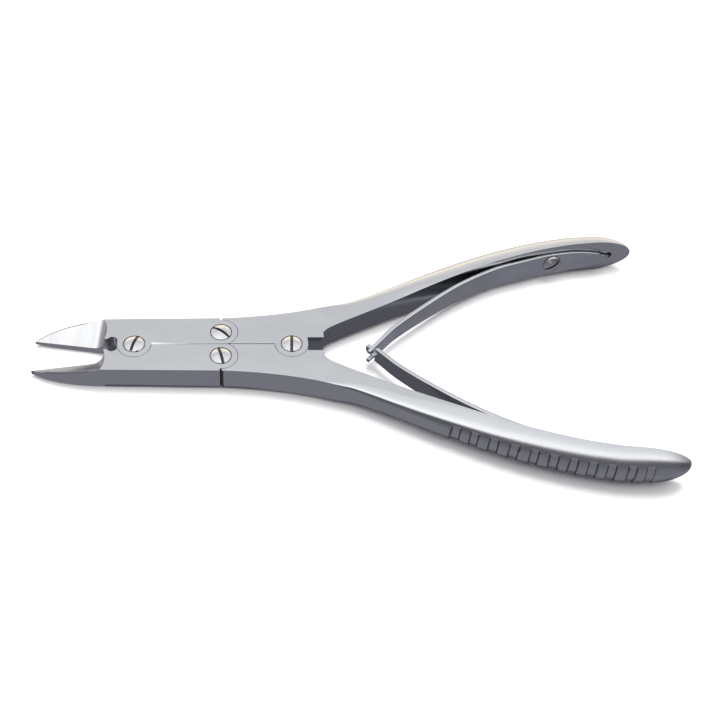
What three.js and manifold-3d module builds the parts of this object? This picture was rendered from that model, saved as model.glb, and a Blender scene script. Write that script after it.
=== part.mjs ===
// Double-action nipping pliers, 180 mm long, lying flat and sprung open.
//
// Two jaws turn on a front pivot and two handles on a rear pivot. Each jaw's rear end is joined to the
// handle on its own side by a link pivot, so squeezing the handles pushes the jaws' rear ends apart and
// closes their tips with more leverage than one pivot would give. Two leaf springs, screwed inside the
// handles and hooked through each other at their tips, push the handles open again.
//
// Millimetres, +Z up. Inside this file x is measured from the rear pivot towards the handles' ends, and
// y from the plane of symmetry. Pieces are drawn for the upper half (+Y) and flipped for the lower half.

import * as THREE from 'three';
import { mergeVertices } from 'three/addons/utils/BufferGeometryUtils.js';
import Module from 'manifold-3d';

const wasm = await Module();
wasm.setup();

// ---------------------------------------------------------------- driving dimensions

const JAW_TIP_X = -72.3;
const HANDLE_END_X = 107.7;
const FRONT_PIVOT = [-44, 0];
const REAR_PIVOT = [0, 0];
const LINK_PIVOT = [-19.9, 4.35];

const BOX_THICKNESS = 7.3;
const HANDLE_WIDTH = 12.1;
const GAP = 0.3;
const SEAM = GAP / 2;

const MID_Z = HANDLE_WIDTH / 2;
const BOX_TOP = MID_Z + BOX_THICKNESS / 2;
const BOX_BOTTOM = MID_Z - BOX_THICKNESS / 2;

const LUG_RADIUS = 4.7;
const SIDE_AT_JAW = 9.35;
const SIDE_AT_LINK = 9.8;
const NOTCH_HALF_WIDTH = 2.4;
const FRONT_NOTCH_X = -48.9;
const REAR_NOTCH_X = 4.7;
const CROTCH = { x: 9.2, y: 4.2, control: [9.7, 5.45] };
const HANDLE_SIDE_CONTROL = [-4.4, 10.5];

const BLADE_ROOT_X = -52.4;
const BLADE_TIP_Y = 5.35;
const BLADE_TIP_FLAT = 0.2;
const BLADE_BACK = { rearX: -52, control: [-65, 9.25] };
const EDGE_HEIGHT = 2.1;
const GRIND_SLOPE = 0.7;
const GRIND_RUNOUT_RADIUS = 1.8;
const TIP_RISE = { fromX: -54, height: 1 };
const RELIEF = { x: [-52.6, -47], y: [2, 5.1] };

// A pivot screw's head sits in a seat; its shank's end stays a little inside the underside.
const SCREW = { head: 2.95, shank: 1.6, seatDepth: 1.3, rim: 0.15, dome: 0.6, endInset: 0.1 };
const SLOT = { width: 0.75, depth: 0.65 };

// A spring screw holds a leaf against a round boss, which stands on the handle's inner face.
const SPRING_SCREW = { x: 81.7, tilt: 0.2, head: 2.9, shank: 1.35, rim: 0.7, dome: 0.7, depth: 4.6 };
const BOSS = { radius: 3.1, root: 3.5 };

// Inner face of a handle arm: x, y, then thickness across it, width along z, and how square it is
// (2 is a half ellipse, more is squarer).
const ARM = [
  [9.8, 5.5, 8.5, 7.26, 12],
  [12, 6.75, 8.1, 7.3, 12],
  [20, 10.95, 6.5, 7.4, 9],
  [30, 16.0, 6.35, 7.8, 5],
  [45, 23.4, 6.7, 9.8, 3],
  [60, 30.15, 6.75, 11.0, 2.5],
  [75, 35.35, 6.6, 11.7, 2.3],
  [87, 38.15, 6.4, 12.0, 2.2],
  [95, 39.15, 6.0, 12.1, 2.2],
  [107.7, 40.7, 5.5, 12.1, 2.2],
];
const ARM_STEP = 3.4;
const ARM_SIDES = 14;
const END_ROUND = { x: 94, fromDegrees: 25, toDegrees: 85, stepDegrees: 10 };

// Grip grooves across the outer side; reach is how far round the section they go, in radians each way.
const GROOVES = { count: 11, first: 46.5, pitch: 4.9, length: 2.2, ramp: 0.25, depth: 0.4, reach: 0.65 };

// Middle line of a leaf spring: x, y, then its thickness and its width along z.
const LEAF = [
  [21.9, -1.75, 1.1, 4.6],
  [24.9, 1.6, 1.2, 5.2],
  [30.3, 7.5, 1.3, 5.7],
  [40.7, 16.2, 1.3, 6.6],
  [51, 23.7, 1.3, 7.6],
  [63, 30.3, 1.3, 8.0],
  [72, 33.35, 1.1, 8.2],
  [79, 35.35, 1.0, 8.3],
  [84, 36.35, 1.0, 8.3],
  [89, 37.15, 0.95, 7.5],
  [94, 37.75, 0.95, 6.1],
  [97.2, 38.1, 0.95, 4.4],
];
const LEAF_STEPS = 28;
const LEAF_PEG = { x: 100.4, end: 41.2, bend: 1.3, width: 1.6, thickness: 0.75, overlap: 1.5 };
const PEG_HOLE = { radius: 1.25, depth: 2.2 };
const FORK = { slot: 2.7, length: 4.0 };
const TONGUE = { width: 2.1, length: 3.6 };

const STEEL = { color: 0xc3c6ca, roughness: 0.34, metalness: 1 };
const SCREW_STEEL = { color: 0xd2d3d4, roughness: 0.24, metalness: 1 };
const SPRING_STEEL = { color: 0xaeb2b8, roughness: 0.3, metalness: 1 };

const ROUND_SEGMENTS = 40;
const SMALL_SEGMENTS = 24;
const DOME_STEPS = 3;
const CURVE_SEGMENTS = 16;
const WELD_DISTANCE = 1e-5;

// How far a cutting solid runs past the face that it cuts through, and further than any piece reaches.
const CLEAR = 1;
const FAR = 100;

// ---------------------------------------------------------------- solids

function solidFrom(geometry) {
  const bare = geometry.clone();
  bare.deleteAttribute('normal');
  bare.deleteAttribute('uv');
  const merged = mergeVertices(bare, WELD_DISTANCE);
  const vertProperties = Float32Array.from(merged.attributes.position.array);
  const triVerts = Uint32Array.from(merged.index.array);
  return new wasm.Manifold(new wasm.Mesh({ numProp: 3, vertProperties, triVerts }));
}

function namedMesh(name, solid, finish) {
  const { vertProperties, triVerts } = solid.getMesh();
  const geometry = new THREE.BufferGeometry();
  geometry.setAttribute('position', new THREE.BufferAttribute(vertProperties, 3));
  geometry.setIndex(new THREE.BufferAttribute(triVerts, 1));
  geometry.computeVertexNormals();
  const mesh = new THREE.Mesh(geometry, new THREE.MeshStandardMaterial(finish));
  mesh.name = name;
  return mesh;
}

function prism(shape, [low, high]) {
  const options = { depth: high - low, bevelEnabled: false, curveSegments: CURVE_SEGMENTS };
  return solidFrom(new THREE.ExtrudeGeometry(shape, options).translate(0, 0, low));
}

function post([x, y], radius, [low, high], segments = ROUND_SEGMENTS) {
  const geometry = new THREE.CylinderGeometry(radius, radius, high - low, segments);
  geometry.rotateX(Math.PI / 2);
  return solidFrom(geometry.translate(x, y, (low + high) / 2));
}

function block([x0, x1], [y0, y1], [z0, z1]) {
  const geometry = new THREE.BoxGeometry(x1 - x0, Math.abs(y1 - y0), z1 - z0);
  return solidFrom(geometry.translate((x0 + x1) / 2, (y0 + y1) / 2, (z0 + z1) / 2));
}

// Skins a row of equal rings, with a flat cap on the first and the last.
function loft(rings) {
  const count = rings[0].length;
  const lastRing = (rings.length - 1) * count;
  const index = [];
  for (let start = 0; start < lastRing; start += count) {
    for (let k = 0; k < count; k += 1) {
      const a = start + k;
      const b = start + (k + 1) % count;
      index.push(a, b, b + count, a, b + count, a + count);
    }
  }
  const firstCentre = rings.length * count;
  const lastCentre = firstCentre + 1;
  for (let k = 0; k < count; k += 1) {
    const next = (k + 1) % count;
    index.push(firstCentre, next, k);
    index.push(lastCentre, lastRing + k, lastRing + next);
  }
  const points = [...rings.flat(), middleOf(rings[0]), middleOf(rings.at(-1))];
  const geometry = new THREE.BufferGeometry().setFromPoints(points);
  geometry.setIndex(index);
  return solidFrom(geometry);
}

function middleOf(ring) {
  const middle = new THREE.Vector3();
  for (const point of ring) {
    middle.addScaledVector(point, 1 / ring.length);
  }
  return middle;
}

// Reads a table of rows [x, values...] at any x, passing smoothly through every row.
function readTable(rows, x) {
  let i = 0;
  while (i < rows.length - 2 && x > rows[i + 1][0]) {
    i += 1;
  }
  const low = rows[i];
  const high = rows[i + 1];
  const before = rows[Math.max(i - 1, 0)];
  const after = rows[Math.min(i + 2, rows.length - 1)];
  const span = high[0] - low[0];
  const t = (x - low[0]) / span;
  const values = [];
  for (let c = 1; c < low.length; c += 1) {
    const lowRise = span * (high[c] - before[c]) / (high[0] - before[0]);
    const highRise = span * (after[c] - low[c]) / (after[0] - low[0]);
    const level = low[c] + (high[c] - low[c]) * (3 * t ** 2 - 2 * t ** 3);
    values.push(level + lowRise * t * (1 - t) ** 2 - highRise * t ** 2 * (1 - t));
  }
  return values;
}

// Direction of a table's line, as the angle of its tangent from the x axis.
function headingAt(rows, x) {
  const step = 0.05;
  return Math.atan2(readTable(rows, x + step)[0] - readTable(rows, x - step)[0], 2 * step);
}

// The same solid on the other side of the plane of symmetry.
function flipped(solid) {
  const { vertProperties, triVerts } = solid.getMesh();
  for (let v = 1; v < vertProperties.length; v += 3) {
    vertProperties[v] *= -1;
  }
  for (let t = 0; t < triVerts.length; t += 3) {
    [triVerts[t], triVerts[t + 1]] = [triVerts[t + 1], triVerts[t]];
  }
  return new wasm.Manifold(new wasm.Mesh({ numProp: 3, vertProperties, triVerts }));
}

// ---------------------------------------------------------------- half-lapped pivots

const TOP_LAYER = { lug: [MID_Z + SEAM, BOX_TOP], recess: [MID_Z - SEAM, BOX_TOP + CLEAR] };
const BOTTOM_LAYER = { lug: [BOX_BOTTOM, MID_Z - SEAM], recess: [BOX_BOTTOM - CLEAR, MID_Z + SEAM] };

// Gives a piece a round lug in one layer of the joint, and in the other layer a round recess for its
// partner's lug. A link pivot's lug is cut flat along the seam, where the other half's lug begins.
function withLug(solid, pivot, layer) {
  const other = layer === TOP_LAYER ? BOTTOM_LAYER : TOP_LAYER;
  let lug = post(pivot, LUG_RADIUS, layer.lug);
  if (pivot === LINK_PIVOT) {
    lug = lug.intersect(block([-FAR, FAR], [SEAM, FAR], [-FAR, FAR]));
  }
  return solid.subtract(post(pivot, LUG_RADIUS + GAP, other.recess)).add(lug);
}

// Bore for a pivot screw's shank, with a seat for its head in the upper face.
function screwBore(pivot) {
  const bore = post(pivot, SCREW.shank + GAP, [BOX_BOTTOM - CLEAR, BOX_TOP + CLEAR], SMALL_SEGMENTS);
  const seat = post(pivot, SCREW.head + GAP, [BOX_TOP - SCREW.seatDepth, BOX_TOP + CLEAR]);
  return bore.add(seat);
}

// ---------------------------------------------------------------- jaws

function jawOutline() {
  const shape = new THREE.Shape();
  const rearX = LINK_PIVOT[0] - SEAM;
  shape.moveTo(rearX, SEAM);
  shape.lineTo(FRONT_NOTCH_X, SEAM);
  shape.lineTo(FRONT_NOTCH_X, NOTCH_HALF_WIDTH);
  shape.lineTo(BLADE_ROOT_X, NOTCH_HALF_WIDTH);
  shape.lineTo(JAW_TIP_X, BLADE_TIP_Y);
  shape.lineTo(JAW_TIP_X, BLADE_TIP_Y + BLADE_TIP_FLAT);
  shape.quadraticCurveTo(...BLADE_BACK.control, BLADE_BACK.rearX, SIDE_AT_JAW);
  shape.lineTo(rearX, SIDE_AT_LINK);
  return shape;
}

// Everything above the ground face of a blade. The face starts at the cutting edge, a little above the
// underside, slopes up towards the outer side, and runs out at its rear end in a hollow curve.
function grindingCut() {
  const reach = 30;
  const radius = GRIND_RUNOUT_RADIUS;
  const profile = new THREE.Shape();
  profile.moveTo(reach, 0);
  profile.lineTo(reach, reach);
  profile.lineTo(0, reach);
  profile.lineTo(0, radius);
  profile.absarc(radius, radius, radius, Math.PI, 1.5 * Math.PI, false);
  const options = { depth: reach, bevelEnabled: false, curveSegments: 8 };
  const geometry = new THREE.ExtrudeGeometry(profile, options).translate(0, 0, -reach / 3);
  const root = new THREE.Vector3(BLADE_ROOT_X, NOTCH_HALF_WIDTH, BOX_BOTTOM + EDGE_HEIGHT);
  const tip = new THREE.Vector3(JAW_TIP_X, BLADE_TIP_Y, BOX_BOTTOM + EDGE_HEIGHT);
  const along = tip.sub(root).normalize();
  const outward = new THREE.Vector3(along.y, -along.x, 0);
  const normal = outward.clone().multiplyScalar(-GRIND_SLOPE).setZ(1).normalize();
  const upSlope = new THREE.Vector3().crossVectors(along, normal);
  const placed = new THREE.Matrix4().makeBasis(along, normal, upSlope).setPosition(root);
  return solidFrom(geometry.applyMatrix4(placed));
}

// The underside rises a little from the joint to the blade's tip.
function tipRiseCut() {
  const shape = new THREE.Shape();
  shape.moveTo(TIP_RISE.fromX, BOX_BOTTOM);
  shape.lineTo(JAW_TIP_X, BOX_BOTTOM + TIP_RISE.height);
  shape.lineTo(JAW_TIP_X - CLEAR, BOX_BOTTOM + TIP_RISE.height);
  shape.lineTo(JAW_TIP_X - CLEAR, BOX_BOTTOM - CLEAR);
  shape.lineTo(TIP_RISE.fromX, BOX_BOTTOM - CLEAR);
  const geometry = new THREE.ExtrudeGeometry(shape, { depth: FAR, bevelEnabled: false });
  return solidFrom(geometry.rotateX(Math.PI / 2).translate(0, FAR / 2, 0));
}

function jawSolid(frontLayer) {
  let jaw = prism(jawOutline(), [BOX_BOTTOM, BOX_TOP]).subtract(grindingCut()).subtract(tipRiseCut());
  jaw = withLug(jaw, FRONT_PIVOT, frontLayer);
  jaw = withLug(jaw, LINK_PIVOT, TOP_LAYER);
  return jaw.subtract(screwBore(FRONT_PIVOT)).subtract(screwBore(LINK_PIVOT));
}

// The upper jaw's lower layer is cleared beside the notch, where the lower jaw swings in.
function upperJawSolid() {
  return jawSolid(TOP_LAYER).subtract(block(RELIEF.x, RELIEF.y, [BOX_BOTTOM - CLEAR, MID_Z]));
}

// ---------------------------------------------------------------- handles

// A point of a handle arm in plan, measured outwards from its inner face.
function armPoint(x, across) {
  const [y] = readTable(ARM, x);
  const heading = headingAt(ARM, x);
  return [x - Math.sin(heading) * across, y + Math.cos(heading) * across];
}

function handleOutline() {
  const frontX = LINK_PIVOT[0] + SEAM;
  const [shoulderX, shoulderY, shoulderThickness] = ARM[1];
  const [outerX, outerY] = armPoint(shoulderX, shoulderThickness);
  const shape = new THREE.Shape();
  shape.moveTo(frontX, SEAM);
  shape.lineTo(REAR_NOTCH_X, SEAM);
  shape.lineTo(REAR_NOTCH_X, NOTCH_HALF_WIDTH);
  shape.lineTo(CROTCH.x, NOTCH_HALF_WIDTH);
  shape.lineTo(CROTCH.x, CROTCH.y);
  shape.quadraticCurveTo(...CROTCH.control, shoulderX, shoulderY);
  shape.lineTo(outerX, outerY);
  shape.quadraticCurveTo(...HANDLE_SIDE_CONTROL, frontX, SIDE_AT_LINK);
  return shape;
}

// How deep the nearest grip groove is at x, from 0 on a land to 1 on a groove's floor.
function grooveAt(x) {
  const fromFirst = x - GROOVES.first;
  const number = Math.round(fromFirst / GROOVES.pitch);
  if (number < 0 || number >= GROOVES.count) {
    return 0;
  }
  const past = Math.abs(fromFirst - number * GROOVES.pitch) - GROOVES.length / 2;
  return THREE.MathUtils.clamp(-past / GROOVES.ramp, 0, 1);
}

// One section of the arm: a flat inner face and a rounded outer side, which carries the grip grooves.
function armRing(x) {
  const [, thickness, width, squareness] = readTable(ARM, x);
  const intoRound = Math.max(0, (x - END_ROUND.x) / (HANDLE_END_X - END_ROUND.x));
  const taper = Math.sqrt(1 - intoRound ** 2);
  const ring = [];
  for (let k = 0; k <= ARM_SIDES; k += 1) {
    const turn = (k / ARM_SIDES - 0.5) * Math.PI;
    const cosine = Math.max(Math.cos(turn), 0) ** (2 / squareness);
    const sine = Math.abs(Math.sin(turn)) ** (2 / squareness) * Math.sign(turn);
    const inset = Math.abs(turn) < GROOVES.reach ? GROOVES.depth * taper * grooveAt(x) : 0;
    const [px, py] = armPoint(x, thickness * taper * cosine - inset);
    ring.push(new THREE.Vector3(px, py, MID_Z + width / 2 * taper * sine));
  }
  return ring;
}

function armSolid() {
  const stations = [];
  for (let x = ARM[0][0]; x < GROOVES.first - GROOVES.pitch; x += ARM_STEP) {
    stations.push(x);
  }
  for (let g = 0; g < GROOVES.count; g += 1) {
    const start = GROOVES.first + g * GROOVES.pitch - GROOVES.length / 2;
    const end = start + GROOVES.length;
    stations.push(start, start + GROOVES.ramp, end - GROOVES.ramp, end);
  }
  for (let turn = END_ROUND.fromDegrees; turn <= END_ROUND.toDegrees; turn += END_ROUND.stepDegrees) {
    const reach = Math.sin(THREE.MathUtils.degToRad(turn));
    stations.push(END_ROUND.x + (HANDLE_END_X - END_ROUND.x) * reach);
  }
  return loft(stations.map(armRing));
}

// Places something made along +Y on a spring screw's axis, at the middle of the leaf.
function onSpringAxis(geometry) {
  const [leafY] = readTable(LEAF, SPRING_SCREW.x);
  return solidFrom(geometry.rotateZ(SPRING_SCREW.tilt).translate(SPRING_SCREW.x, leafY, MID_Z));
}

function springAxisPost(radius, from, to) {
  const geometry = new THREE.CylinderGeometry(radius, radius, to - from, SMALL_SEGMENTS);
  return onSpringAxis(geometry.translate(0, (from + to) / 2, 0));
}

function pegHole() {
  const [faceY] = readTable(ARM, LEAF_PEG.x);
  const length = PEG_HOLE.depth + CLEAR;
  const geometry = new THREE.CylinderGeometry(PEG_HOLE.radius, PEG_HOLE.radius, length, SMALL_SEGMENTS);
  return solidFrom(geometry.translate(LEAF_PEG.x, faceY - CLEAR + length / 2, MID_Z));
}

function handleSolid(rearLayer) {
  const [, leafThickness] = readTable(LEAF, SPRING_SCREW.x);
  let handle = prism(handleOutline(), [BOX_BOTTOM, BOX_TOP]).add(armSolid());
  handle = withLug(handle, REAR_PIVOT, rearLayer);
  handle = withLug(handle, LINK_PIVOT, BOTTOM_LAYER);
  handle = handle.subtract(screwBore(REAR_PIVOT)).subtract(screwBore(LINK_PIVOT));
  handle = handle.add(springAxisPost(BOSS.radius, leafThickness / 2 + GAP, BOSS.root));
  handle = handle.subtract(springAxisPost(SPRING_SCREW.shank + GAP, 0, SPRING_SCREW.depth + GAP));
  return handle.subtract(pegHole());
}

// ---------------------------------------------------------------- leaf springs

function leafRing(x) {
  const [y, thickness, width] = readTable(LEAF, x);
  const heading = headingAt(LEAF, x);
  const corners = [[-1, -1], [1, -1], [1, 1], [-1, 1]];
  return corners.map(([across, up]) => {
    const offset = across * thickness / 2;
    const px = x - Math.sin(heading) * offset;
    const py = y + Math.cos(heading) * offset;
    return new THREE.Vector3(px, py, MID_Z + up * width / 2);
  });
}

function leafSolid() {
  const [tipX] = LEAF[0];
  const [tailX] = LEAF.at(-1);
  const rings = [];
  for (let i = 0; i <= LEAF_STEPS; i += 1) {
    rings.push(leafRing(tipX + (tailX - tipX) * i / LEAF_STEPS));
  }
  const screwHole = springAxisPost(SPRING_SCREW.shank + GAP, -2 * CLEAR, 2 * CLEAR);
  return loft(rings).add(pegSolid()).subtract(screwHole);
}

// The leaf's tail turns outwards into a narrow peg, which sits in a hole in the handle.
function pegSolid() {
  const { x, end, bend, width, thickness, overlap } = LEAF_PEG;
  const [tailX, leafY] = LEAF.at(-1);
  const startX = tailX - overlap;
  const centreX = x - bend;
  const half = thickness / 2;
  const shape = new THREE.Shape();
  shape.moveTo(startX, leafY - half);
  shape.lineTo(centreX, leafY - half);
  shape.absarc(centreX, leafY + bend, bend + half, -Math.PI / 2, 0, false);
  shape.lineTo(x + half, end);
  shape.lineTo(x - half, end);
  shape.absarc(centreX, leafY + bend, bend - half, 0, -Math.PI / 2, true);
  shape.lineTo(startX, leafY + half);
  return prism(shape, [MID_Z - width / 2, MID_Z + width / 2]);
}

// A block across the leaf's tip, in the leaf's own directions, between two heights above its middle.
function acrossTip(length, [low, high]) {
  const [tipX, tipY, thickness] = LEAF[0];
  const geometry = new THREE.BoxGeometry(length + 2 * CLEAR, 4 * thickness, high - low);
  geometry.translate(length / 2 - CLEAR, 0, (low + high) / 2);
  geometry.rotateZ(headingAt(LEAF, tipX));
  return solidFrom(geometry.translate(tipX, tipY, MID_Z));
}

// One leaf ends in a fork; the other's narrow tongue passes between its prongs.
function forkedLeafSolid() {
  return leafSolid().subtract(acrossTip(FORK.length, [-FORK.slot / 2, FORK.slot / 2]));
}

function tonguedLeafSolid() {
  const above = acrossTip(TONGUE.length, [TONGUE.width / 2, HANDLE_WIDTH]);
  const below = acrossTip(TONGUE.length, [-HANDLE_WIDTH, -TONGUE.width / 2]);
  return leafSolid().subtract(above).subtract(below);
}

// ---------------------------------------------------------------- screws

// A slotted screw with a low dome, its axis along +Y and the underside of its head at y = 0.
function screwSolid({ head, shank, rim, dome, length, slotDegrees }) {
  const profile = [
    new THREE.Vector2(0, -length),
    new THREE.Vector2(shank, -length),
    new THREE.Vector2(shank, 0),
    new THREE.Vector2(head, 0),
  ];
  for (let i = 0; i < DOME_STEPS; i += 1) {
    const turn = i / DOME_STEPS * Math.PI / 2;
    profile.push(new THREE.Vector2(head * Math.cos(turn), rim + dome * Math.sin(turn)));
  }
  profile.push(new THREE.Vector2(0, rim + dome));
  const body = solidFrom(new THREE.LatheGeometry(profile, SMALL_SEGMENTS));
  const slot = new THREE.BoxGeometry(2 * head + 2 * CLEAR, SLOT.depth + CLEAR, SLOT.width);
  slot.translate(0, rim + dome + (CLEAR - SLOT.depth) / 2, 0);
  slot.rotateY(THREE.MathUtils.degToRad(slotDegrees));
  return body.subtract(solidFrom(slot));
}

// The slot's angle is measured in plan from the x axis, as the screw happened to be left.
function pivotScrew(name, [x, y], slotDegrees) {
  const headZ = BOX_TOP - SCREW.seatDepth + GAP;
  const rim = SCREW.rim + BOX_TOP - headZ;
  const length = headZ - BOX_BOTTOM - SCREW.endInset;
  const mesh = namedMesh(name, screwSolid({ ...SCREW, rim, length, slotDegrees }), SCREW_STEEL);
  mesh.rotation.x = Math.PI / 2;
  mesh.position.set(x, y, headZ);
  return mesh;
}

// side is 1 in the upper handle and -1 in the lower one.
function springScrew(name, side, slotDegrees) {
  const { x, tilt, depth } = SPRING_SCREW;
  const [leafY, thickness] = readTable(LEAF, x);
  const under = thickness / 2 + GAP;
  const solid = screwSolid({ ...SPRING_SCREW, length: depth + under, slotDegrees });
  const mesh = namedMesh(name, solid, SCREW_STEEL);
  mesh.rotation.z = side > 0 ? Math.PI + tilt : -tilt;
  mesh.position.set(x + Math.sin(tilt) * under, side * (leafY - Math.cos(tilt) * under), MID_Z);
  return mesh;
}

// ---------------------------------------------------------------- assembly

const pliers = new THREE.Group();
pliers.add(
  namedMesh('upper_jaw', upperJawSolid(), STEEL),
  namedMesh('lower_jaw', flipped(jawSolid(BOTTOM_LAYER)), STEEL),
  namedMesh('upper_handle', handleSolid(TOP_LAYER), STEEL),
  namedMesh('lower_handle', flipped(handleSolid(BOTTOM_LAYER)), STEEL),
  namedMesh('upper_spring', forkedLeafSolid(), SPRING_STEEL),
  namedMesh('lower_spring', flipped(tonguedLeafSolid()), SPRING_STEEL),
  pivotScrew('front_pivot_screw', FRONT_PIVOT, 72),
  pivotScrew('rear_pivot_screw', REAR_PIVOT, 88),
  pivotScrew('upper_link_screw', LINK_PIVOT, -37),
  pivotScrew('lower_link_screw', [LINK_PIVOT[0], -LINK_PIVOT[1]], -76),
  springScrew('upper_spring_screw', 1, 35),
  springScrew('lower_spring_screw', -1, -20),
);

// The finished part's origin is under the middle of its length, on the surface it lies on.
pliers.position.x = -(JAW_TIP_X + HANDLE_END_X) / 2;

export default pliers;
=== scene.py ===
"""Double-action nipping pliers in satin steel, lying open on a pale floor under soft studio light.

Lengths in this file are millimetres until they reach a mesh, which is in metres. Inside the file x is
measured from the rear pivot towards the handles' ends, and y from the plane of symmetry, as on a drawing of
the tool. Each shape is given for the upper half, and side -1 mirrors it to the lower one.
"""
import math

import bmesh
import bpy
import numpy as np
from mathutils import Matrix, Vector


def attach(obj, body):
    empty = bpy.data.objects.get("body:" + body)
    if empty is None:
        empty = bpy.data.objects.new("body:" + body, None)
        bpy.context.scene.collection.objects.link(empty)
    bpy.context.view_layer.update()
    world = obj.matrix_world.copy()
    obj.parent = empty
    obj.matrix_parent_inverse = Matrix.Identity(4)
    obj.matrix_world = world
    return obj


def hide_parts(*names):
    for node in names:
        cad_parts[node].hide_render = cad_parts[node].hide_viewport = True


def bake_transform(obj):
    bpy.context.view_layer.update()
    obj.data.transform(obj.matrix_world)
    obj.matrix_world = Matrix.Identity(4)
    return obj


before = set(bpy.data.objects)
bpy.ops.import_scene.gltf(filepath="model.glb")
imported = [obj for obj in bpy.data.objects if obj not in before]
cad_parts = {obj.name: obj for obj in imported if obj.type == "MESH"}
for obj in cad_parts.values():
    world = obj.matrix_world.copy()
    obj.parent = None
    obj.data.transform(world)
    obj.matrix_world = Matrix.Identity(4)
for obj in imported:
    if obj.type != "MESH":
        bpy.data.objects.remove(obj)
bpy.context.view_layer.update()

# ---------------------------------------------------------------- dimensions

MM = 0.001
REAR_PIVOT_ROW_X = -17.7

FRONT_PIVOT = (-44.0, 0.0)
REAR_PIVOT = (0.0, 0.0)
LINK_PIVOT = (-19.9, 4.35)
JAW_TIP_X = -72.3
HANDLE_END_X = 107.7

MID_Z = 6.05
BOX_TOP = 9.7
BOX_BOTTOM = 2.4
SEAM = 0.07
LINK_GAP = 0.5
LUG_RADIUS = 4.7
LUG_GAP = 0.1
LAYER_GAP = 0.04
CORNER = 0.09
SHARPEST_SMOOTH = 32
SHARP_FROM = 38
TOLERANCE = 0.01
BEYOND = 1.0

SIDE_AT_JAW = 9.35
SIDE_AT_LINK = 9.8
FRONT_NOTCH = {"front_x": -52.4, "rear_x": -48.68, "half_width": 1.85, "round_x": -50.1, "round_top": 2.65}
BLADE_TIP_Y = (5.35, 5.55)
BLADE_BACK = {"control": (-65.0, 9.25), "rear_x": -52.0}
BLADE_BACK_EASING = {"width": 0.5, "from_x": -55.5, "full_x": -59.0, "above_edge": 0.5}
BLADE_ROOT = (-52.4, 2.4)
BLADE_EDGE_START = (-52.75, 2.45)
EDGE_HEIGHT = 2.1
GRIND_SLOPE = 0.7
GRIND_RADIUS = 3.6
GRIND_TURN = 3.0
TIP_RISE = {"from_x": -54.0, "height": 1.0}
RELIEF = {"x": (-52.6, -47.0), "y": (1.9, 5.1)}
# Faces in the narrow gap between a jaw and its handle, by the link, are painted in shade.
LINK_GAP_SHADE = {"half_width": 0.6, "inner_y": 8.85}
GROUND_TO_X = -50.9

REAR_NOTCH = {"front_x": 4.55, "rear_x": 9.2, "half_width": 2.4, "crotch_y": 4.2, "control": (9.7, 5.45)}
HANDLE_SIDE_CONTROL = (-4.4, 10.5)

# Arm of a handle: x, then y of the inner face, thickness, width, and the outer corner's rounding as shares of
# the thickness and of half the width.
ARM = (
    (9.8, 5.5, 8.5, 7.26, 0.01, 0.02),
    (12.0, 6.75, 8.1, 7.3, 0.012, 0.027),
    (15.0, 8.4, 7.4, 7.33, 0.12, 0.12),
    (20.0, 10.95, 6.5, 7.4, 0.32, 0.36),
    (30.0, 16.0, 6.35, 7.8, 0.56, 0.58),
    (45.0, 23.4, 6.7, 9.8, 0.9, 0.82),
    (60.0, 30.15, 6.75, 11.0, 0.97, 0.95),
    (75.0, 35.35, 6.6, 11.7, 0.985, 0.995),
    (87.0, 38.15, 6.4, 12.0, 0.985, 0.995),
    (95.0, 39.15, 6.0, 12.1, 0.985, 0.995),
    (107.7, 40.7, 5.5, 12.1, 0.985, 0.995),
)
SHOULDER = 1
END_ROUND_X = 94.0
SEAM_WEDGE = {"front_x": -39.3, "rear_x": -25.0, "width": 0.42, "height": 0.28}
# Grip grooves; reach is how far they run down and up the side, as shares of half the arm's width.
GROOVES = {
    "count": 11, "first": 46.5, "pitch": 4.9, "length": 2.5, "depth": 0.42, "reach": (0.9, 0.62), "fade": 0.1,
}
GROOVES_VARY = {"place": 0.16, "skew": 0.02, "length": 0.07}
OUTER_STEPS = 26
ROUNDING_POWER = 0.94

# Middle line of a leaf spring: x, then y, thickness, width, and how far it hangs below the handle's middle.
LEAF_FRONT = (
    (21.9, -1.75, 1.1, 4.6, 0.0),
    (24.9, 1.6, 1.2, 5.2, 0.0),
    (30.3, 7.5, 1.3, 5.7, 0.0),
    (40.7, 16.2, 1.3, 6.6, 0.1),
    (51.0, 23.7, 1.3, 7.6, 0.2),
    (63.0, 30.3, 1.3, 8.0, 0.25),
)
# The rest of it lies along the arm: x, then its gap to the arm, thickness, width, and the same drop.
LEAF_TAIL = (
    (72.0, 0.45, 1.1, 8.2, 0.3),
    (79.0, 0.16, 1.0, 8.3, 0.5),
    (84.0, 0.16, 1.0, 8.3, 0.55),
    (89.0, 0.16, 0.95, 7.5, 0.5),
    (94.0, 0.16, 0.95, 6.1, 0.4),
    (97.2, 0.16, 0.95, 4.4, 0.3),
)
LEAF_EASING = 0.26
LEAF_STEPS = 130
PEG_STEPS = 14
PEG = {"x": 100.4, "end_y": 41.2, "bend": 1.0, "width": 1.6, "thickness": 0.75}
PEG_HOLE = {"radius": 1.25, "depth": 2.2}
FORK = {"slot": 2.5, "length": 4.0}
TONGUE = {"width": 2.1, "length": 3.6}

SCREW = {"head": 2.95, "shank": 1.6, "seat_depth": 1.3, "rim": 0.12, "dome": 0.62}
# Below a thin lip at its top, a slot's walls and floor are painted in shade.
SLOT = {"width": 0.78, "depth": 0.7, "unshaded_top": 0.06}
RIM_EASING = 0.5
RIM_TURN = 66
DOME_STEPS = 18
HEAD_GAP = 0.14
SLOT_EASING = 0.05
SPRING_SCREW = {"x": 81.7, "tilt": 0.2, "head": 2.9, "shank": 1.35, "rim": 0.7, "dome": 0.7, "depth": 4.6}
BOSS_RADIUS = 3.1
SEAT_GAP = 0.1
HEAD_LIFT = 0.01

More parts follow.
